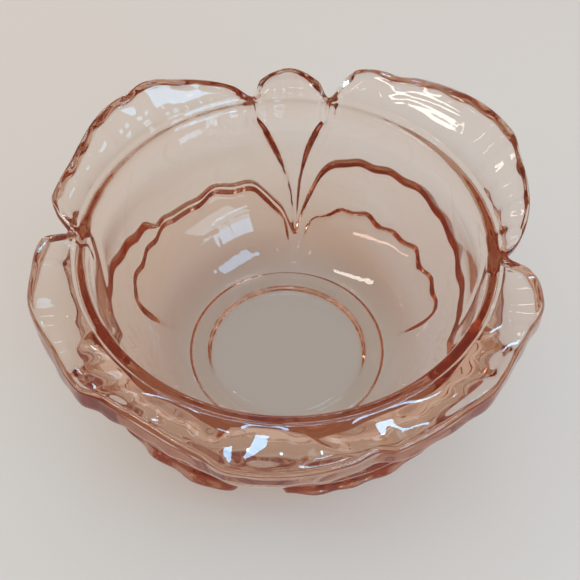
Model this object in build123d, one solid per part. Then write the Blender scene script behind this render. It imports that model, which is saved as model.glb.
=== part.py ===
"""Candy dish pressed from one piece of clear pink glass.

Four wide petals and four narrow ones flare out around a plain round mouth.
Below them two more rows of petals overlap on the outside of the wall, each row
standing out further than the one above. Inside, the bowl is smooth, with a flat
ledge around the mouth that a lid can sit on. The dish stands on a low foot ring.

Millimetres. Origin at the centre of the foot, where it meets the table, +Z up.
Azimuths are in degrees about +Z, from +X.
"""
import os
from math import cos, pi, radians, sin, sqrt

from build123d import *

# Driving dimensions
LEDGE_RADIUS = 58.0          # the mouth, which is the inner edge of the lid ledge
LEDGE_WIDTH = 3.5
LEDGE_HEIGHT = 60.0
REGISTER_HEIGHT = 1.6        # low step outside the ledge, which centres a lid
FLOOR_THICKNESS = 7.0
WALL = 5.0                   # thickness of the wall at the mouth
FOOT_RADIUS = 33.0
FOOT_INNER_RADIUS = 26.0
FOOT_RECESS = 2.0
PETAL_THICKNESS = 3.8        # at the lip of the flared petals
WIDE_RELIEF = 2.4            # how far each row of petals stands out from the plain wall
MIDDLE_RELIEF = 5.0
LOWER_RELIEF = 9.0

# The hollow and the wall are quarter ellipses, upright where they meet the ledge
HOLLOW_CENTRE = 26.0
WALL_CENTRE = 31.0
WALL_UNDERSIDE = 2.0         # height of the wall's lowest point, inside the foot ring
WALL_DEPTH = LEDGE_HEIGHT - WALL_UNDERSIDE
WALL_RADIUS = LEDGE_RADIUS + WALL
REGISTER_RADIUS = LEDGE_RADIUS + LEDGE_WIDTH
REGISTER_TOP = LEDGE_HEIGHT + REGISTER_HEIGHT

# Flared petals: first and last azimuth, radius and height of the lip
NARROW_PETALS = [(74, 105, 71.0, 65.0), (174, 216, 75.0, 65.0), (254, 273, 77.5, 65.0), (330, 357, 74.0, 66.0)]
WIDE_PETALS = [(-4, 77, 76.5, 71.0), (102, 177, 75.0, 68.5), (207, 259, 76.5, 66.0), (266, 337, 77.5, 66.0)]
NOTCH_RADIUS = 63.5          # how far the notches between petals cut in towards the mouth
LOBE_WIDTH = 15.0            # degrees of azimuth for each wave along a petal's edge
LOBE_DEPTH = 0.8

# Petals on the wall: azimuth of the middle, half the width, and height of the tip
WIDE_WALL_PETALS = [(37, 42, 64), (140, 40, 64), (233, 30, 64), (303, 37, 64)]
MIDDLE_PETALS = [(39, 46, 40), (150, 40, 33), (225, 37, 39), (305, 40, 39)]
LOWER_PETALS = [(42, 44, 18), (134, 46, 24), (228, 34, 23), (304, 38, 21)]
PETAL_BASE = 1.2             # petals on the wall end just above the table


def quarter_ellipse(centre, radius, lowest):
    """Curve of the wall's section, from the floor out and up to the ledge's height."""
    return EllipticalCenterArc(
        (centre, LEDGE_HEIGHT), radius - centre, LEDGE_HEIGHT - lowest, 270, arc_size=90
    )


def turn(section):
    """Turn a section drawn as radius and height once about the vertical."""
    return revolve(Plane.XZ * section.sketch, Axis.Z, 360)


def make_wall(relief):
    """A bowl, solid inside, whose wall stands out from the plain one by relief."""
    with BuildSketch() as section:
        with BuildLine():
            outer = quarter_ellipse(WALL_CENTRE, WALL_RADIUS + relief, WALL_UNDERSIDE)
            Polyline(
                outer @ 1,
                (WALL_RADIUS + relief, REGISTER_TOP),
                (0, REGISTER_TOP),
                (0, WALL_UNDERSIDE),
                outer @ 0,
            )
        make_face()
    return turn(section)


def make_hollow():
    """The air inside: the bowl up to the ledge, and the wider register above the ledge."""
    top = LEDGE_HEIGHT + 20
    with BuildSketch() as section:
        with BuildLine():
            inner = quarter_ellipse(HOLLOW_CENTRE, LEDGE_RADIUS, FLOOR_THICKNESS)
            Polyline(
                inner @ 1,
                (REGISTER_RADIUS, LEDGE_HEIGHT),
                (REGISTER_RADIUS, top),
                (0, top),
                (0, FLOOR_THICKNESS),
                inner @ 0,
            )
        make_face()
    return turn(section)


def make_flare(lip_radius, lip_height, relief):
    """A full ring of flared glass, curling out and up from the wall to a rounded lip."""
    root_height = 0.7 * LEDGE_HEIGHT
    drop = (LEDGE_HEIGHT - root_height) / WALL_DEPTH
    root = (WALL_CENTRE + (WALL_RADIUS + relief - WALL_CENTRE) * sqrt(1 - drop * drop), root_height)
    under_lip = (lip_radius, lip_height - PETAL_THICKNESS)
    nose = (lip_radius + 0.5, lip_height - 0.35 * PETAL_THICKNESS)
    over_lip = (lip_radius - 0.6 * PETAL_THICKNESS, lip_height)
    bend = (root[0] + 0.27 * (under_lip[0] - root[0]), root[1] + 0.62 * (under_lip[1] - root[1]))
    inner_bend = (
        REGISTER_RADIUS + 0.55 * (over_lip[0] - REGISTER_RADIUS),
        REGISTER_TOP + 0.42 * (over_lip[1] - REGISTER_TOP),
    )
    with BuildSketch() as section:
        with BuildLine():
            ThreePointArc(root, bend, under_lip)
            ThreePointArc(under_lip, nose, over_lip)
            ThreePointArc(over_lip, inner_bend, (REGISTER_RADIUS, REGISTER_TOP))
            Polyline(
                (REGISTER_RADIUS, REGISTER_TOP),
                (LEDGE_RADIUS, LEDGE_HEIGHT),
                (LEDGE_RADIUS, root_height),
                root,
            )
        make_face()
    return turn(section)


def make_flared_petal(first, last, lip_radius, lip_height, relief):
    """One petal of the top row, cut from its flare by an outline with a waved edge."""
    lobes = max(2, round((last - first) / LOBE_WIDTH))
    steps = 4 * lobes
    edge = []
    for step in range(steps + 1):
        across = -cos(pi * step / steps)
        arch = (1 - abs(across) ** 2.6) ** (1 / 2.6)
        wave = LOBE_DEPTH * cos(pi * lobes * (across + 1)) * arch
        radius = NOTCH_RADIUS + (lip_radius + LOBE_DEPTH - NOTCH_RADIUS) * arch - LOBE_DEPTH + wave
        azimuth = radians((first + last + across * (last - first)) / 2)
        edge.append((radius * cos(azimuth), radius * sin(azimuth)))
    with BuildSketch() as outline:
        with BuildLine():
            crown = Spline(edge)
            Polyline(crown @ 1, (0, 0), crown @ 0)
        make_face()
    return make_flare(lip_radius, lip_height, relief) & extrude(outline.sketch, amount=lip_height + 5)


def make_wall_petal(ring, azimuth, half_width, tip_height):
    """One petal on the wall: the part of a thicker wall inside an arched, waved outline."""
    lobes = 3
    steps = 4 * lobes
    shoulder = 0.4 * tip_height
    edge = []
    for step in range(steps + 1):
        angle = pi * (1 - step / steps)
        arch = sin(angle) ** 0.8
        wave = LOBE_DEPTH * (cos(2 * lobes * angle) - 1) / 2 * arch
        edge.append((half_width * cos(angle), shoulder + (tip_height - shoulder + wave) * arch))
    base_width = 0.75 * half_width
    with BuildSketch() as outline:
        with BuildLine():
            crown = Spline(edge)
            Polyline(crown @ 1, (base_width, PETAL_BASE), (-base_width, PETAL_BASE), crown @ 0)
        make_face()
    facing = Plane(origin=(0, 0, 0), x_dir=(0, 1, 0), z_dir=(1, 0, 0)).rotated((0, 0, azimuth))
    return ring & extrude(facing * outline.sketch, amount=2 * WALL_RADIUS)


def make_petals():
    """Every petal of the three rows."""
    petals = [make_flared_petal(*petal, relief=0) for petal in NARROW_PETALS]
    petals += [make_flared_petal(*petal, relief=WIDE_RELIEF) for petal in WIDE_PETALS]
    rows = [(WIDE_RELIEF, WIDE_WALL_PETALS), (MIDDLE_RELIEF, MIDDLE_PETALS), (LOWER_RELIEF, LOWER_PETALS)]
    for relief, row in rows:
        ring = make_wall(relief)
        petals += [make_wall_petal(ring, *petal) for petal in row]
    return petals


def make_dish():
    """The whole dish, as the one solid that leaves the mould."""
    foot = Cylinder(FOOT_RADIUS, 2 * WALL_UNDERSIDE, align=(Align.CENTER, Align.CENTER, Align.MIN))
    recess = Cylinder(FOOT_INNER_RADIUS, FOOT_RECESS, align=(Align.CENTER, Align.CENTER, Align.MIN))
    dish = make_wall(0) + foot
    for petal in make_petals():
        dish = dish + petal
    return dish - make_hollow() - recess


os.makedirs("parts", exist_ok=True)
export_step(make_dish(), "parts/glass_dish.step")
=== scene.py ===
"""Candy dish of pressed pink glass, for Blender 4.5: one closed mesh of clear glass on a pale floor.

The dish is laid out as columns, one for each azimuth round the bowl, and rows, which run
from the centre of the underside, over the foot ring, up the outside past the three rows
of petals, round the lip, down the inside and back to the centre. Lengths are millimetres
until the mesh is made. Azimuths are degrees about +Z, from +X. A value that differs from
column to column is an array of columns by 1, and one that differs from row to row an array
of 1 by rows.
"""

import math

import bpy
import numpy as np
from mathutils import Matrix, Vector


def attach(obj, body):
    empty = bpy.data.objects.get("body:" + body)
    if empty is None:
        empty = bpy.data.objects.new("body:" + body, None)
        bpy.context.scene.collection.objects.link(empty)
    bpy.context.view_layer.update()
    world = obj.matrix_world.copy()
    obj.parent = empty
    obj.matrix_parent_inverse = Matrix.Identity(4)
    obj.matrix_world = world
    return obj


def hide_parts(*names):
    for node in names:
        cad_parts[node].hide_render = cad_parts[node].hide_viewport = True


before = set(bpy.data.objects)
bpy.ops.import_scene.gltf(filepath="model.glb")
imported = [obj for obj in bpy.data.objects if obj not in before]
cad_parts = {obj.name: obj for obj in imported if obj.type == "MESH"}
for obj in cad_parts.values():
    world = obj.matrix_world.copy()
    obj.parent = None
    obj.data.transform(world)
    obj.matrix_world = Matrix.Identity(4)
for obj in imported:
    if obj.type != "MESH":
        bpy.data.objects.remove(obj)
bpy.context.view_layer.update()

MM = 0.001

# The bowl, in millimetres
LEDGE_RADIUS = 58.0
LEDGE_WIDTH = 3.5
LEDGE_OUTER = LEDGE_RADIUS + LEDGE_WIDTH
LEDGE_HEIGHT = 60.0
LEDGE_ROUND = 1.7            # radius of the inner edge of the ledge
REGISTER_RADIUS = LEDGE_OUTER + 0.9     # top of the step outside the ledge
REGISTER_HEIGHT = 1.3
NOTCH_REGISTER_HEIGHT = 0.2  # what is left of that step in a notch
FLOOR_THICKNESS = 7.0
HOLLOW_CENTRE = 26.0         # the hollow and the wall are quarter ellipses about these radii
WALL_CENTRE = 31.0
HOLLOW_DEPTH = LEDGE_HEIGHT - FLOOR_THICKNESS
WALL_RADIUS = 63.0
WALL_UNDERSIDE = 2.0
WALL_START = 2.12            # where the wall begins, just above the outer edge of the foot ring
RECESS_DEPTH = 2.1
INNERMOST = 3.0              # radius of the last row of the floor
FLUTE_DEPTH = 0.015          # faint upright waves in the inside of the bowl
FLUTE_PITCH = 4.5            # degrees
FLUTE_START = (0.3, 0.7)     # they fade in and out over these turns down the hollow, in radians
FLUTE_END = (1.45, 1.15)

# Section of the underside from the middle outwards: the recess, then the foot ring
FOOT_SECTION = [(radius, RECESS_DEPTH) for radius in (4, 9, 14, 19, 22.6)] + [
    (23.8, 2.05), (24.7, 1.85), (25.4, 1.45), (26.0, 0.95), (26.6, 0.45), (27.3, 0.12), (28.2, 0),
    (29.6, 0), (30.9, 0), (31.7, 0.06), (32.3, 0.25), (32.65, 0.6), (32.85, 1.0), (33.0, 1.4),
    (33.12, 1.8), (33.25, 2.05),
]

# How far each row of petals stands out from the plain wall, level with the ledge
WIDE_RELIEF = 1.8
MIDDLE_RELIEF = 6.2
LOWER_RELIEF = 13.5

# Upper edge of the middle and lower rows on the wall: azimuth and height
MIDDLE_EDGE = [
    (-12, 24), (4, 30), (14, 32), (21, 35), (34, 38), (40, 40), (70, 37), (78, 31), (84, 18), (87, 8),
    (95, 12), (110, 19), (140, 24), (148, 30), (157, 31), (169, 33), (185, 30), (190, 26), (201, 32),
    (208, 34), (216, 37), (234, 39), (243, 36), (250, 34), (256, 25), (262, 11), (267, 14), (272, 23),
    (291, 34), (306, 40), (324, 37),
]
LOWER_EDGE = [
    (-8, 4), (-1, 5), (10, 14), (22, 16), (29, 16), (36, 18), (50, 17), (60, 18), (80, 12), (87, 6),
    (92, 12), (103, 22), (118, 24), (129, 22), (134, 23), (154, 20), (165, 18), (177, 9), (181, 5),
    (190, 4), (199, 6), (205, 14), (219, 22), (226, 22), (233, 23), (240, 22), (246, 24), (255, 20),
    (258, 10), (260, 5), (265, 5), (268, 14), (271, 18), (284, 20), (291, 20), (299, 21), (314, 21),
    (327, 15), (334, 8),
]
LOWEST_EDGE = 4.2
EDGE_SPACING = 2.8          # least height between the edges of the two rows
LOWER_BEVEL = 5.5           # height over which a petal on the wall slopes back to its edge
MIDDLE_BEVEL = 6.0
STEP_HANDLE = 0.3           # how straight that slope starts, as a share of its height
STEP_ROUND = 0.75           # how round it ends at the edge
SCALLOP_WIDTH = 11.6        # degrees
SCALLOP_DEPTH = 0.55
SCALLOP_SHIFT = 4.0         # degrees between the scallops of the two rows
SCALLOP_HEIGHTS = (8, 16)   # they grow between these heights of the edge

# The lower row fades into the wall where its edge is low. It stays clear further down near the
# point of the back cleft than at the sides.
BACK_CLEFT = 87.0
BACK_TO_SIDES = (72, 87)    # degrees from that cleft
FADED_AT_BACK = 6.5         # height of an edge that has faded out
FADED_AT_SIDES = 12.5
FADE_HEIGHT = 6.0           # how much higher an edge has its full strength

# Clefts, where the narrow petals lie between the wide ones: azimuth of the left and of the
# right side at each height, from the point of the V up
CLEFTS = [
    [(10, 86.6, 87.6), (18, 86.4, 88.6), (24, 86.2, 89.7), (34, 84.8, 93), (41, 83.3, 95.4),
     (48, 81, 97.8), (58, 77.5, 102)],
    [(17, 189, 191), (28, 184, 196), (34, 180, 200), (43, 176.5, 205), (51, 175.5, 210), (58, 177, 216)],
    [(10, 261.3, 262.7), (24, 259.5, 265.5), (36, 257.5, 270), (48, 255.5, 276), (58, 254.5, 284)],
    [(10, 346.7, 348.3), (24, 344, 350), (36, 340, 352), (48, 335, 354), (58, 331, 356)],
]
CLEFT_TOP = 57.5            # above this height they keep the same shape
CLEFT_GROWTH = 5.0          # height over which a cleft deepens from its point
CLEFT_SOFTNESS = 2.8        # degrees over which the wall steps at a cleft
CLEFT_BEAD = 0.7            # how much thicker the wide petals are beside a cleft
# That bead's strength, and its distance from the cleft and its width in degrees, low and high
BEAD_LOW = (0.6, 1.4, 1.1)
BEAD_HIGH = (1.4, 3.0, 2.1)
BEAD_HEIGHTS = (18, 52)
BEAD_END = (59, 53)         # it fades out between these heights

NECK_HEIGHT = 47.0          # where the wall starts to bend out into the flare
NECK_WAIST = 1.8            # how much the wall draws in below the flare
WAIST_START = 30.0

# Outline of the lip, petal by petal: azimuth, radius and height. The notches are the points at
# about 64 mm, at the back and at both sides.
LIP = [
    # back right, wide
    (-4, 64, 58.5), (-1, 67, 60.5), (10, 72.5, 64), (22, 75.5, 67.5), (28, 77.5, 69), (34, 77.5, 69.5),
    (56, 76, 66), (61, 74.5, 65), (67, 75.5, 64), (72, 74.5, 63), (75, 71, 61), (78, 63.5, 58.5),
    # back, narrow
    (82, 68, 61), (90, 72.5, 62), (98, 69, 60.5), (101, 63.5, 58.5),
    # back left, wide
    (106, 67, 61), (120, 72.5, 65), (129, 76, 66.5), (134, 75, 66.5), (139, 75.5, 66), (160, 72, 62.5),
    (168, 72, 61.5), (173, 69, 60.5), (178, 64.5, 59),
    # left, narrow
    (182, 71, 61.5), (192, 73, 63.5), (203, 75.5, 64), (214, 75, 64.5),
    # near left, wide
    (226, 76.5, 64.5), (231, 74.5, 64.5), (238, 74, 64.5), (254, 76.5, 64),
    # near, narrow
    (260, 78.5, 63.5), (283, 76, 62.5),
    # near right, wide
    (288, 74.5, 62.5), (292, 76, 63), (308, 75.5, 64), (314, 76, 64), (327, 74, 63.5),
    # right, narrow
    (332, 74, 63), (338, 75, 64), (344, 73, 64), (349, 70, 62.5),
]
NOTCH_RADIUS = 63.6         # a column whose lip doesn't reach further out lies in a notch
PETAL_RADIUS = 67.6         # from here outwards a column has the full shape of a petal
EVEN_SHARE = 0.55           # how far the columns spread evenly along the outline, from 0 to 1

# The edge of the lip, from the flare's underside over the bevel and the nose to the upper face
NOSE_RADIUS = 1.1           # of the outermost edge
NOSE_LIFT = 0.5             # from the outline's height up to the nose's centre
FLARE_ORIGIN = (57.0, 59.4)     # radius and height that the petals fan out from
LIP_THICKNESS = 5.5
LUMP_HEIGHT = 0.5           # unevenness of that thickness
LUMP_PITCH = 8.0            # degrees
LUMP_SHIFT = 9              # columns by which the unevenness of the bevel lags behind
NEAR_SIDE = (196, 220, 326, 350)    # azimuths between which the near side sets in and ends
NEAR_THICKER = 2.6          # how much thicker the lip is there
SIDE_PETALS = ((204, 13), (339, 11))    # azimuth and width of the narrow side petals, in degrees
SIDE_THICKER = 2.0          # how much thicker the lip is there
BEVEL = 64.0                # degrees between the flare's underside and the bevel below the nose
BEVEL_UNEVENNESS = 0.10     # radians
# Corners of the bevel: outwards from the nose, and up as a share of the thickness below the nose
BEVEL_CORNERS = ((-1.6, -1.0), (-0.95, -1.0), (-0.45, -0.84))
NOTCH_SPACING = 1.2         # between these corners in a notch, where one stands above another
NOTCH_NOSE_END = -0.17      # radians about the nose's centre, from the flare's heading, in a notch
NOTCH_HEADING = 1.4         # radians above level in which the wall arrives at a notch

# The flare's section: how far it leans outwards at the neck in degrees, and its handles as
# shares of its length
NECK_LEAN = 5.0
PETAL_LEAN = 4.0            # added in the petals
NEAR_LEAN = 36.0            # added at the near side
NECK_HANDLE = 0.36
NEAR_HANDLE = 0.25
LIP_HANDLE = 0.38

# The upper face of the petals
FACE_HANDLE = 0.3           # of the curve from the nose to the register, as a share of its length
FACE_RISE = 0.06            # how the face rises as it leaves the register
PETALS_AT_BACK = (90, 95)   # azimuth and width in degrees
RIDGE_HEIGHT = 0.35         # of the thickened border of the petals at the back
RIDGE_PLACE = 1.5           # inwards from the nose
RIDGE_WIDTH = 1.0
RIPPLE_DEPTH = 0.06         # of the fine ripples in the back right petal
RIPPLE_WIDTH = 2.3
RIPPLE_PETAL = (28, 30)     # azimuth and width in degrees
SWELL_HEIGHT = 0.22         # of the broad waves along the petals
SWELL_PITCH = 24.0          # degrees
SWELL_NEAR, SWELL_BACK = 2, 0.6     # how strong they are at the near side and at the back

# Columns of the mesh for each degree, and how many more beside a cleft
COLUMN_DENSITY = 2.4
CLEFT_DENSITY = 1.8
CLEFT_MARGIN = 4.0          # degrees

# Rows of the mesh in each stretch of the section
LOWER_ROWS = 18
MIDDLE_ROWS = 18
STEP_ROWS = 10
WALL_ROWS = 9
FLARE_ROWS = 24
BEVEL_ROWS = 9
NOSE_ROWS = 8
PETAL_ROWS = 36
LEDGE_ROWS = 5
LEDGE_ROUND_ROWS = 6
LEDGE_ROUND_STEP = 13       # degrees between them
HOLLOW_ROWS = 40
FLOOR_ROWS = 8

# The glass absorbs the colours that its tint lacks, the more so the deeper and denser it is
GLASS_IOR = 1.5
TINT = (0.83, 0.47, 0.23, 1)
TINT_DENSITY = 39
MOULD_SCALE = 45            # of the mould's faint unevenness
MOULD_STRENGTH = 0.12
MOULD_DEPTH = 0.0006        # metres

# The studio, in metres and watts
FLOOR_COLOUR = (0.63, 0.56, 0.50, 1)
FLOOR_HALF = 3.0
FLOOR_DROP = 0.0002         # keeps the floor clear of the foot ring
MIDDLE_OF_DISH = 0.04       # height
WINDOW_COLOUR = (0.30, 0.66, 1.0)
WARM_WHITE = (1.0, 0.97, 0.90)
WORLD_COLOUR = (1.0, 0.83, 0.70, 1)
WORLD_STRENGTH = 0.44

# The camera looks down at the dish from the front, 52.6 degrees above the table
CAMERA_PLACE = (0.00087, -0.18851, 0.28246)
CAMERA_TURN = (37.43, -0.36, 0.47)      # degrees
CAMERA_LENS = 62.07
CAMERA_SENSOR = 36


def ramp(value, start, end):
    """Goes smoothly from 0 at start to 1 at end."""
    share = np.clip((value - start) / (end - start), 0, 1)
    return share * share * (3 - 2 * share)


def hump(value, middle, width, power=2):
    """Is 1 at the middle and falls off to both sides."""
    return np.exp(-(((value - middle) / width) ** power))


def mix(first, second, share):
    """The first at share 0, the second at share 1."""
    return first + (second - first) * share


def fractions(count):
    """That many fractions from 0 to 1, both included, one for each row."""
    return np.linspace(0, 1, count)[None, :]


def cubic(corners, t):
    """Radius and height at t on a cubic curve with four corners."""
    weights = ((1 - t) ** 3, 3 * t * (1 - t) ** 2, 3 * t * t * (1 - t), t ** 3)
    return [sum(w * corner[k] for w, corner in zip(weights, corners)) for k in (0, 1)]


def through(points, where, around=None):
    """A curve through (x, y) points without overshoot, read at where; it closes after around."""
    x, y = np.array(points, float).T
    if around:
        x = np.concatenate([x[-3:] - around, x, x[:3] + around])
        y = np.concatenate([y[-3:], y, y[:3]])
        where = (where - x[3]) % around + x[3]
    step = np.diff(x)
    slope = np.diff(y) / step
    tangent = np.zeros(len(x))
    same = slope[:-1] * slope[1:] > 0
    first, second = 2 * step[1:] + step[:-1], step[1:] + 2 * step[:-1]
    safe_before, safe_after = np.where(same, slope[:-1], 1), np.where(same, slope[1:], 1)
    tangent[1:-1] = np.where(same, (first + second) / (first / safe_before + second / safe_after), 0)
    where = np.clip(where, x[0], x[-1])
    k = np.clip(np.searchsorted(x, where) - 1, 0, len(x) - 2)
    t = (where - x[k]) / step[k]
    return (
        (1 + 2 * t) * (1 - t) ** 2 * y[k]
        + t * (1 - t) ** 2 * step[k] * tangent[k]
        + t * t * (3 - 2 * t) * y[k + 1]
        + t * t * (t - 1) * step[k] * tangent[k + 1]
    )


def column_azimuths():
    """Azimuths of the columns, closer together by the clefts."""
    spacing = 0.02
    fine = np.arange(0, 360, spacing)
    density = np.full(len(fine), COLUMN_DENSITY)
    for cleft in CLEFTS:
        left, right = cleft[-1][1] - CLEFT_MARGIN, cleft[-1][2] + CLEFT_MARGIN
        for turn in (0, 360):
            after_left = ramp(fine + turn, left, left + CLEFT_MARGIN)
            before_right = ramp(fine + turn, right, right - CLEFT_MARGIN)
            density += CLEFT_DENSITY * after_left * before_right
    total = np.cumsum(density)
    count = int(total[-1] * spacing)
    return np.interp(np.linspace(0, total[-1], count, endpoint=False), total, fine)


def rim_outline(azimuth):
    """For each column, the azimuth, radius and height of its point on the lip.

    The points keep a nearly even distance along the outline, so more columns go to the
    sides of the petals, beside the notches.
    """
    radii = [(a, radius) for a, radius, height in LIP]
    heights = [(a, height) for a, radius, height in LIP]
    fine = np.arange(0, 360, 0.05)
    closed = np.append(fine, 360)
    radius = through(radii, fine, 360)
    x, y = radius * np.cos(np.radians(fine)), radius * np.sin(np.radians(fine))
    length = np.hypot(np.diff(x, append=x[0]), np.diff(y, append=y[0]))
    travel = np.concatenate([[0], np.cumsum(length)])
    spread = mix(closed, travel / travel[-1] * 360, EVEN_SHARE)
    # slide back so that the notches, on the whole, keep their azimuth
    whole = np.arange(0, 360, 1.0)
    offset = np.interp(whole, closed, spread) - whole
    reach = 22
    smoothed = sum(np.roll(offset, k) for k in range(-reach, reach + 1)) / (2 * reach + 1)
    slow = np.interp(closed, np.arange(0, 361), np.append(smoothed, smoothed[0]))
    start = (spread - slow)[:-1]
    starts = np.concatenate([start + turn for turn in (-360, 0, 360)])
    wanted = np.concatenate([fine + turn for turn in (-360, 0, 360)])
    lip_azimuth = np.interp(azimuth, starts, wanted)
    return lip_azimuth, through(radii, lip_azimuth, 360), through(heights, lip_azimuth, 360)


def wall_radius(height, relief):
    """Radius of the outside at a height, for a wall that stands out by relief."""
    drop = np.clip((LEDGE_HEIGHT - height) / (LEDGE_HEIGHT - WALL_UNDERSIDE), 0, 1)
    return WALL_CENTRE + (WALL_RADIUS + relief - WALL_CENTRE) * np.sqrt(1 - drop * drop)


def wall_slope(height, relief):
    """How fast that radius grows with height."""
    rise = 0.1
    return (wall_radius(height + rise, relief) - wall_radius(height, relief)) / rise


def upper_relief(azimuth, height):
    """How far the wall above the middle row stands out: not at all inside a cleft.

    The wide petals are thicker where they end at a cleft, and the wall draws in below the flare.
    """
    inside = np.zeros(np.broadcast(azimuth, height).shape)
    beside = np.zeros(inside.shape)
    rise = ramp(height, *BEAD_HEIGHTS)
    strength, distance, width = (mix(low, high, rise) for low, high in zip(BEAD_LOW, BEAD_HIGH))
    for cleft in CLEFTS:
        point = cleft[0][0]
        left = through([(level, start) for level, start, end in cleft], height)
        right = through([(level, end) for level, start, end in cleft], height)
        grown = ramp(height, point, point + CLEFT_GROWTH)
        # the sides are steeper where the cleft is narrow
        softness = np.minimum(CLEFT_SOFTNESS, 0.5 + 0.4 * (right - left))
        for turn in (0, 360):
            outside = np.maximum(left - azimuth - turn, azimuth + turn - right)
            inside = np.maximum(inside, grown * ramp(outside, softness / 2, -softness / 2))
            beside = np.maximum(beside, grown * strength * hump(outside, distance, width))
    bead = CLEFT_BEAD * beside * ramp(height, *BEAD_END)
    return WIDE_RELIEF * (1 - inside) + bead - NECK_WAIST * ramp(height, WAIST_START, NECK_HEIGHT)


def scallops(azimuth, height):
    """Waves along the upper edge of a row of petals, which fade out in the clefts."""
    wave = np.cos(2 * math.pi * azimuth / SCALLOP_WIDTH + 0.6 * np.sin(np.radians(azimuth) * 5))
    return height + SCALLOP_DEPTH * wave * ramp(height, *SCALLOP_HEIGHTS)


def along(start, end, count):
    """Heights from start to end, one more closely spaced where the wall is flatter."""
    full = LEDGE_HEIGHT - WALL_UNDERSIDE
    first, last = (np.arccos(np.clip((LEDGE_HEIGHT - h) / full, -1, 1)) for h in (start, end))
    return LEDGE_HEIGHT - full * np.cos(mix(first, last, fractions(count + 1)[:, 1:]))


def petal_on_wall(start, edge, bevel, relief, relief_above, count, strength=1.0):
    """A petal on the wall from a height up to its edge, where it slopes back over its bevel.

    At strength 0 the petal has faded out, and the wall goes straight on.
    """
    foot = edge - bevel
    height = along(start, foot, count)[:, :-1]
    body = wall_radius(height, relief), height, 0.0
    outer_radius, inner_radius = wall_radius(foot, relief), wall_radius(edge, relief_above)
    slope = wall_slope(foot, relief)
    handle = STEP_HANDLE * bevel
    corners = (
        (outer_radius, foot),
        (outer_radius + handle * slope, foot + handle),
        (
            inner_radius + STEP_ROUND * strength - (1 - strength) * handle * slope,
            edge - STEP_ROUND * strength - (1 - strength) * handle,
        ),
        (inner_radius, edge),
    )
    return [body, (*cubic(corners, fractions(STEP_ROWS)), 0.0)]


def wall_rows(around):
    """The outside of the bowl: the lower row of petals, the middle row, and the wall up to the neck."""
    lower = np.maximum(scallops(around, through(LOWER_EDGE, around, 360)), LOWEST_EDGE)
    middle = scallops(around + SCALLOP_SHIFT, through(MIDDLE_EDGE, around, 360))
    middle = np.maximum(middle, lower + EDGE_SPACING)
    lower_bevel = np.minimum(LOWER_BEVEL, 0.5 * (lower - RECESS_DEPTH))
    middle_bevel = np.minimum(MIDDLE_BEVEL, 0.6 * (middle - lower))

    from_back = np.abs((around - BACK_CLEFT + 180) % 360 - 180)
    faded = mix(FADED_AT_BACK, FADED_AT_SIDES, ramp(from_back, *BACK_TO_SIDES))
    strength = ramp(lower, faded, faded + FADE_HEIGHT)
    relief = mix(MIDDLE_RELIEF, LOWER_RELIEF, strength)
    relief_above = upper_relief(around, middle)
    plain_height = mix(middle, NECK_HEIGHT, fractions(WALL_ROWS + 1)[:, 1:])
    return [
        *petal_on_wall(WALL_START, lower, lower_bevel, relief, MIDDLE_RELIEF, LOWER_ROWS, strength),
        *petal_on_wall(lower, middle, middle_bevel, MIDDLE_RELIEF, relief_above, MIDDLE_ROWS),
        (wall_radius(plain_height, upper_relief(around, plain_height)), plain_height, 0.0),
    ]


class Lip:
    """The lip's nose in each column, and a frame there: outwards along the flare, and up through it."""

    def __init__(self, around):
        self.azimuth, self.radius, height = rim_outline(around)
        lump = np.cos(2 * math.pi * self.azimuth / LUMP_PITCH + 2 * np.sin(np.radians(3 * self.azimuth)))
        self.lump = 0.6 * lump + 0.4 * np.cos(np.radians(23 * self.azimuth) + 1)
        self.extent = ramp(self.radius, NOTCH_RADIUS, PETAL_RADIUS)
        left_far, left_near, right_near, right_far = NEAR_SIDE
        self.near = ramp(self.azimuth, left_far, left_near) * ramp(self.azimuth, right_far, right_near)
        self.nose_radius, self.nose_height = self.radius - NOSE_RADIUS, height + NOSE_LIFT
        self.heading = np.arctan2(self.nose_height - FLARE_ORIGIN[1], self.nose_radius - FLARE_ORIGIN[0])
        bevel = np.radians(BEVEL) + BEVEL_UNEVENNESS * np.roll(self.lump, LUMP_SHIFT, axis=0)
        # where the nose meets the upper face and the bevel, as angles about its centre
        self.over = self.heading + math.pi / 2
        self.under = self.heading + mix(NOTCH_NOSE_END, bevel - math.pi / 2, self.extent)

    def on_nose(self, angle):
        """Radius and height of the point of the nose at that angle about its centre."""
        return self.nose_radius + NOSE_RADIUS * np.cos(angle), self.nose_height + NOSE_RADIUS * np.sin(angle)

    def in_frame(self, outwards, up):
        """Radius and height of a point of the frame."""
        return (
            self.nose_radius + outwards * np.cos(self.heading) - up * np.sin(self.heading),
            self.nose_height + outwards * np.sin(self.heading) + up * np.cos(self.heading),
        )

    def bevel_corners(self):
        """Corners of the bevel, which in a notch becomes part of the upright wall."""
        thickness = LIP_THICKNESS + LUMP_HEIGHT * self.lump + NEAR_THICKER * self.near
        for middle, width in SIDE_PETALS:
            thickness = thickness + SIDE_THICKER * hump(self.azimuth, middle, width)
        tip_radius, tip_height = self.on_nose(self.under)
        corners = []
        for k, (outwards, up) in enumerate(BEVEL_CORNERS):
            radius, height = self.in_frame(outwards, up * (thickness - NOSE_RADIUS))
            drop = (len(BEVEL_CORNERS) - k) * NOTCH_SPACING
            corners.append((
                mix(tip_radius, radius, self.extent),
                mix(tip_height - drop, height, self.extent),
            ))
        return corners + [(tip_radius, tip_height)]


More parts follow.
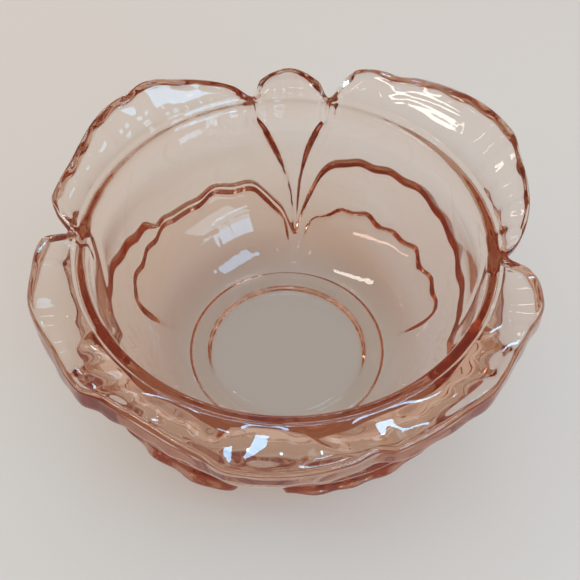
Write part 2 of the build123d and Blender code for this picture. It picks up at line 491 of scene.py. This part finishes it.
def flare_rows(around, lip):
    """The underside of the flare, from the neck out to the bevel. The clefts run on into it."""
    neck_relief = upper_relief(around, NECK_HEIGHT)
    neck_radius = wall_radius(NECK_HEIGHT, neck_relief)
    end_radius, end_height = lip.bevel_corners()[0]
    span = np.hypot(end_radius - neck_radius, end_height - NECK_HEIGHT)
    # the neck's lean changes less abruptly from column to column than the lip does
    reach = 12
    petal = sum(np.roll(lip.extent, k, axis=0) for k in range(-reach, reach + 1)) / (2 * reach + 1)
    lean = np.radians(NECK_LEAN + PETAL_LEAN * petal + NEAR_LEAN * lip.near)
    rise = mix(NECK_HANDLE, NEAR_HANDLE, lip.near) * span
    # the handle at the lip is short where there is little room, so it never dips behind the neck
    arriving = mix(NOTCH_HEADING, lip.heading, lip.extent)
    room = np.maximum(end_radius - neck_radius, 0.3) / np.maximum(np.cos(arriving), 0.15)
    back = np.minimum(0.9 * room, LIP_HANDLE * span)
    corners = (
        (neck_radius, NECK_HEIGHT),
        (neck_radius + rise * np.sin(lean), NECK_HEIGHT + rise * np.cos(lean)),
        (end_radius - back * np.cos(arriving), end_height - back * np.sin(arriving)),
        (end_radius, end_height),
    )
    t = fractions(FLARE_ROWS + 1)[:, 1:]
    radius, height = cubic(corners, t)
    fan = ramp(t, 0, 1)
    recess = upper_relief(around, np.minimum(height, CLEFT_TOP)) - neck_relief
    return [(radius + recess * (1 - fan), height, fan)]


def edge_rows(lip):
    """The bevel, and round the nose."""
    bevel = cubic(lip.bevel_corners(), fractions(BEVEL_ROWS + 1)[:, 1:])
    nose = lip.on_nose(mix(lip.under, lip.over, fractions(NOSE_ROWS + 2)[:, 1:-1]))
    return [(*bevel, 1.0), (*nose, 1.0)]


def face_rows(lip):
    """The petals' upper face and the register's step, down to the ledge.

    The face has a thickened border at the back, fine ripples in the back right petal and
    broad waves all round, most of all at the near side.
    """
    over_radius, over_height = lip.on_nose(lip.over)
    register_radius = np.minimum(REGISTER_RADIUS, over_radius - 0.3)
    step_height = mix(NOTCH_REGISTER_HEIGHT, REGISTER_HEIGHT, ramp(lip.radius, 64, 67))
    register_height = LEDGE_HEIGHT + step_height
    span = np.hypot(over_radius - register_radius, over_height - register_height)
    handle = FACE_HANDLE * span
    inwards = lip.over + math.pi / 2
    corners = (
        (over_radius, over_height),
        (over_radius + handle * np.cos(inwards), over_height + handle * np.sin(inwards)),
        (register_radius + handle, register_height + FACE_RISE * span),
        (register_radius, register_height),
    )
    t = fractions(PETAL_ROWS)
    radius, height = cubic(corners, t)

    distance = over_radius - radius
    width = over_radius - register_radius
    at_back = hump(lip.azimuth, *PETALS_AT_BACK, power=4)
    ridge = RIDGE_HEIGHT * at_back * (1 + 0.6 * lip.lump) * hump(distance, RIDGE_PLACE, RIDGE_WIDTH)
    ridge = ridge * ramp(distance, 0, 0.6) * ramp(width, 2, 5)
    ripple = RIPPLE_DEPTH * np.sin(2 * math.pi * distance / RIPPLE_WIDTH) * hump(lip.azimuth, *RIPPLE_PETAL)
    ripple = ripple * ramp(distance, 0, 1.5) * ramp(distance, 9, 6) * ramp(width, 4, 7)
    wave = np.sin(2 * math.pi * lip.azimuth / SWELL_PITCH + 1.2 * np.sin(np.radians(3 * lip.azimuth)))
    swell = SWELL_HEIGHT * mix(SWELL_NEAR, SWELL_BACK, at_back) * wave
    swell = swell * ramp(distance, 0, 3) * ramp(width - distance, 0, 4)

    down = fractions(LEDGE_ROWS + 2)[:, 1:-1]
    ledge_end = np.minimum(LEDGE_OUTER, register_radius - 0.1) - 0.35
    return [
        (radius, height + ridge + swell + ripple, 1 - ramp(t, 0, 1)),
        (
            mix(register_radius, ledge_end, down),
            mix(register_height, LEDGE_HEIGHT, ramp(down, 0, 1)),
            0.0,
        ),
    ]


def inside_rows(around):
    """The ledge with its rounded edge, the hollow and its floor."""
    flat = np.array([[LEDGE_OUTER - 0.9, LEDGE_OUTER - 1.4, LEDGE_RADIUS + LEDGE_ROUND]])
    corner = np.radians(LEDGE_ROUND_STEP * np.arange(LEDGE_ROUND_ROWS, 0, -1))[None, :]
    turn = np.linspace(LEDGE_ROUND / HOLLOW_DEPTH, math.pi / 2, HOLLOW_ROWS)[None, :]
    flutes = np.sin(2 * math.pi * around / FLUTE_PITCH + 2 * np.sin(np.radians(5 * around)) + 4 * turn)
    flutes = FLUTE_DEPTH * flutes * ramp(turn, *FLUTE_START) * ramp(turn, *FLUTE_END)
    floor = np.linspace(HOLLOW_CENTRE, INNERMOST, FLOOR_ROWS)[None, 1:]
    return [
        (flat, np.full(flat.shape, LEDGE_HEIGHT), 0.0),
        (
            LEDGE_RADIUS + LEDGE_ROUND * (1 - np.cos(corner)),
            LEDGE_HEIGHT - LEDGE_ROUND * (1 - np.sin(corner)),
            0.0,
        ),
        (
            HOLLOW_CENTRE + (LEDGE_RADIUS - HOLLOW_CENTRE) * np.cos(turn) + flutes,
            LEDGE_HEIGHT - HOLLOW_DEPTH * np.sin(turn),
            0.0,
        ),
        (floor, np.full(floor.shape, FLOOR_THICKNESS), 0.0),
    ]


def make_rows(around):
    """Radius, height and azimuth of every vertex, as arrays of columns by rows.

    Each stretch of rows has a radius, a height and a fan, which is 0 where the vertices
    keep the azimuth of their column and 1 where they take that of its point on the lip.
    """
    lip = Lip(around)
    foot = np.array(FOOT_SECTION).T[:, None, :]
    stretches = [
        (*foot, 0.0),
        *wall_rows(around),
        *flare_rows(around, lip),
        *edge_rows(lip),
        *face_rows(lip),
        *inside_rows(around),
    ]
    whole = []
    for radius, height, fan in stretches:
        shape = (len(around), height.shape[1])
        whole.append([np.broadcast_to(value, shape) for value in (radius, height, fan)])
    radius, height, fan = (np.concatenate(values, axis=1) for values in zip(*whole))
    return radius, height, around + (lip.azimuth - around) * fan


def make_dish():
    """The dish as one closed mesh."""
    radius, height, bearing = make_rows(column_azimuths()[:, None])
    columns, rows = radius.shape
    angle = np.radians(bearing)
    points = np.stack([radius * np.cos(angle), radius * np.sin(angle), height], axis=2).reshape(-1, 3)
    below, above = len(points), len(points) + 1
    points = np.concatenate([points, [[0, 0, height[0, 0]], [0, 0, height[0, -1]]]])
    first = np.arange(columns) * rows
    beside = np.roll(first, -1)
    lower_left = (first[:, None] + np.arange(rows - 1)).ravel()
    lower_right = (beside[:, None] + np.arange(rows - 1)).ravel()
    quads = np.stack([lower_left, lower_right, lower_right + 1, lower_left + 1], axis=1)
    pairs = list(zip(first.tolist(), beside.tolist()))
    faces = quads.tolist()
    faces += [(below, b, a) for a, b in pairs]
    faces += [(above, a + rows - 1, b + rows - 1) for a, b in pairs]
    mesh = bpy.data.meshes.new("glass_dish_body")
    mesh.from_pydata((points * MM).tolist(), [], faces)
    mesh.update()
    mesh.polygons.foreach_set("use_smooth", np.ones(len(mesh.polygons), bool))
    piece = bpy.data.objects.new("pressed_glass_dish", mesh)
    bpy.context.scene.collection.objects.link(piece)
    return piece


def glass_material():
    """Clear pink glass, tinted by its depth, with a faint unevenness from the mould.

    Shadow rays pass straight through its surface, so that its shadow is soft and clear.
    """
    material = bpy.data.materials.new("pink_pressed_glass")
    material.use_nodes = True
    tree = material.node_tree
    tree.nodes.clear()
    new = tree.nodes.new
    link = tree.links.new
    output = new("ShaderNodeOutputMaterial")
    glass = new("ShaderNodeBsdfPrincipled")
    glass.inputs["Base Color"].default_value = (1, 1, 1, 1)
    glass.inputs["Transmission Weight"].default_value = 1
    glass.inputs["IOR"].default_value = GLASS_IOR
    glass.inputs["Roughness"].default_value = 0.0
    clear = new("ShaderNodeBsdfTransparent")
    path = new("ShaderNodeLightPath")
    blend = new("ShaderNodeMixShader")
    link(path.outputs["Is Shadow Ray"], blend.inputs[0])
    link(glass.outputs[0], blend.inputs[1])
    link(clear.outputs[0], blend.inputs[2])
    link(blend.outputs[0], output.inputs["Surface"])
    tint = new("ShaderNodeVolumeAbsorption")
    tint.inputs["Color"].default_value = TINT
    tint.inputs["Density"].default_value = TINT_DENSITY
    link(tint.outputs[0], output.inputs["Volume"])
    place = new("ShaderNodeTexCoord")
    noise = new("ShaderNodeTexNoise")
    noise.inputs["Scale"].default_value = MOULD_SCALE
    noise.inputs["Detail"].default_value = 2
    link(place.outputs["Object"], noise.inputs["Vector"])
    bump = new("ShaderNodeBump")
    bump.inputs["Strength"].default_value = MOULD_STRENGTH
    bump.inputs["Distance"].default_value = MOULD_DEPTH
    link(noise.outputs["Fac"], bump.inputs["Height"])
    link(bump.outputs[0], glass.inputs["Normal"])
    return material


def floor_material():
    """Plain pale matt floor."""
    material = bpy.data.materials.new("pale_floor")
    material.use_nodes = True
    shader = material.node_tree.nodes["Principled BSDF"]
    shader.inputs["Base Color"].default_value = FLOOR_COLOUR
    shader.inputs["Roughness"].default_value = 0.7
    shader.inputs["Specular IOR Level"].default_value = 0.2
    return material


def add_floor():
    """A square floor under the dish."""
    corners = [(x * FLOOR_HALF, y * FLOOR_HALF, 0) for x, y in ((-1, -1), (1, -1), (1, 1), (-1, 1))]
    mesh = bpy.data.meshes.new("floor")
    mesh.from_pydata(corners, [], [(0, 1, 2, 3)])
    floor = bpy.data.objects.new("studio_floor", mesh)
    bpy.context.scene.collection.objects.link(floor)
    floor.data.materials.append(floor_material())
    floor.location.z = -FLOOR_DROP


def add_lamp(name, place, target, width, height, power, colour):
    """A rectangular lamp of that width and height, facing target. Metres and watts."""
    lamp = bpy.data.lights.new(name, "AREA")
    lamp.shape = "RECTANGLE"
    lamp.size = width
    lamp.size_y = height
    lamp.energy = power
    lamp.color = colour
    holder = bpy.data.objects.new(name, lamp)
    holder.location = place
    holder.rotation_euler = (Vector(target) - Vector(place)).to_track_quat("-Z", "Y").to_euler()
    bpy.context.scene.collection.objects.link(holder)
    return lamp


def toward(azimuth, elevation, distance):
    """The point in that direction from the middle of the dish. Degrees and metres."""
    turn, rise = math.radians(azimuth), math.radians(elevation)
    level = distance * math.cos(rise)
    return level * math.cos(turn), level * math.sin(turn), MIDDLE_OF_DISH + distance * math.sin(rise)


def add_light():
    """A warm, even world, one large soft lamp above, and small panes that show in the glass."""
    world = bpy.data.worlds.new("studio")
    bpy.context.scene.world = world
    world.use_nodes = True
    background = world.node_tree.nodes["Background"]
    background.inputs["Color"].default_value = WORLD_COLOUR
    background.inputs["Strength"].default_value = WORLD_STRENGTH
    # the main light only brightens matt surfaces and isn't seen as a pane in the glass
    overhead = add_lamp("overhead", (-0.2, 0.1, 2.2), (0, 0, 0), 2.5, 2.5, 27, (1.0, 1.0, 0.99))
    overhead.cycles.use_multiple_importance_sampling = False
    middle = (0, 0, MIDDLE_OF_DISH)
    for k, azimuth in enumerate((-42, -56)):
        add_lamp("window_%d" % k, toward(azimuth, 22, 1.25), middle, 0.25, 0.60, 3.9, WINDOW_COLOUR)
    add_lamp("back_window", toward(91, 34, 1.3), middle, 0.15, 0.11, 0.9, WINDOW_COLOUR)
    add_lamp("high_window", toward(-28, 61, 1.3), middle, 0.50, 0.32, 4.2, WINDOW_COLOUR)
    add_lamp("ceiling", toward(178, 60, 1.3), middle, 0.09, 0.60, 2.2, WARM_WHITE)


def add_camera():
    """The camera at the photo's angle."""
    camera = bpy.data.objects.new("camera", bpy.data.cameras.new("camera"))
    camera.data.lens = CAMERA_LENS
    camera.data.sensor_width = CAMERA_SENSOR
    camera.location = CAMERA_PLACE
    camera.rotation_mode = "XYZ"
    camera.rotation_euler = [math.radians(angle) for angle in CAMERA_TURN]
    bpy.context.scene.collection.objects.link(camera)
    bpy.context.scene.camera = camera


def set_up_cycles():
    """Enough bounces for light to cross the dish, and no caustics, which would be noisy."""
    scene = bpy.context.scene
    scene.cycles.max_bounces = 40
    scene.cycles.transmission_bounces = 32
    scene.cycles.glossy_bounces = 16
    scene.cycles.transparent_max_bounces = 32
    scene.cycles.caustics_refractive = False
    scene.cycles.caustics_reflective = False
    scene.view_settings.view_transform = "Standard"


dish = make_dish()
dish.data.materials.append(glass_material())
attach(dish, "root")
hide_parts("glass_dish")
add_floor()
add_light()
add_camera()
set_up_cycles()
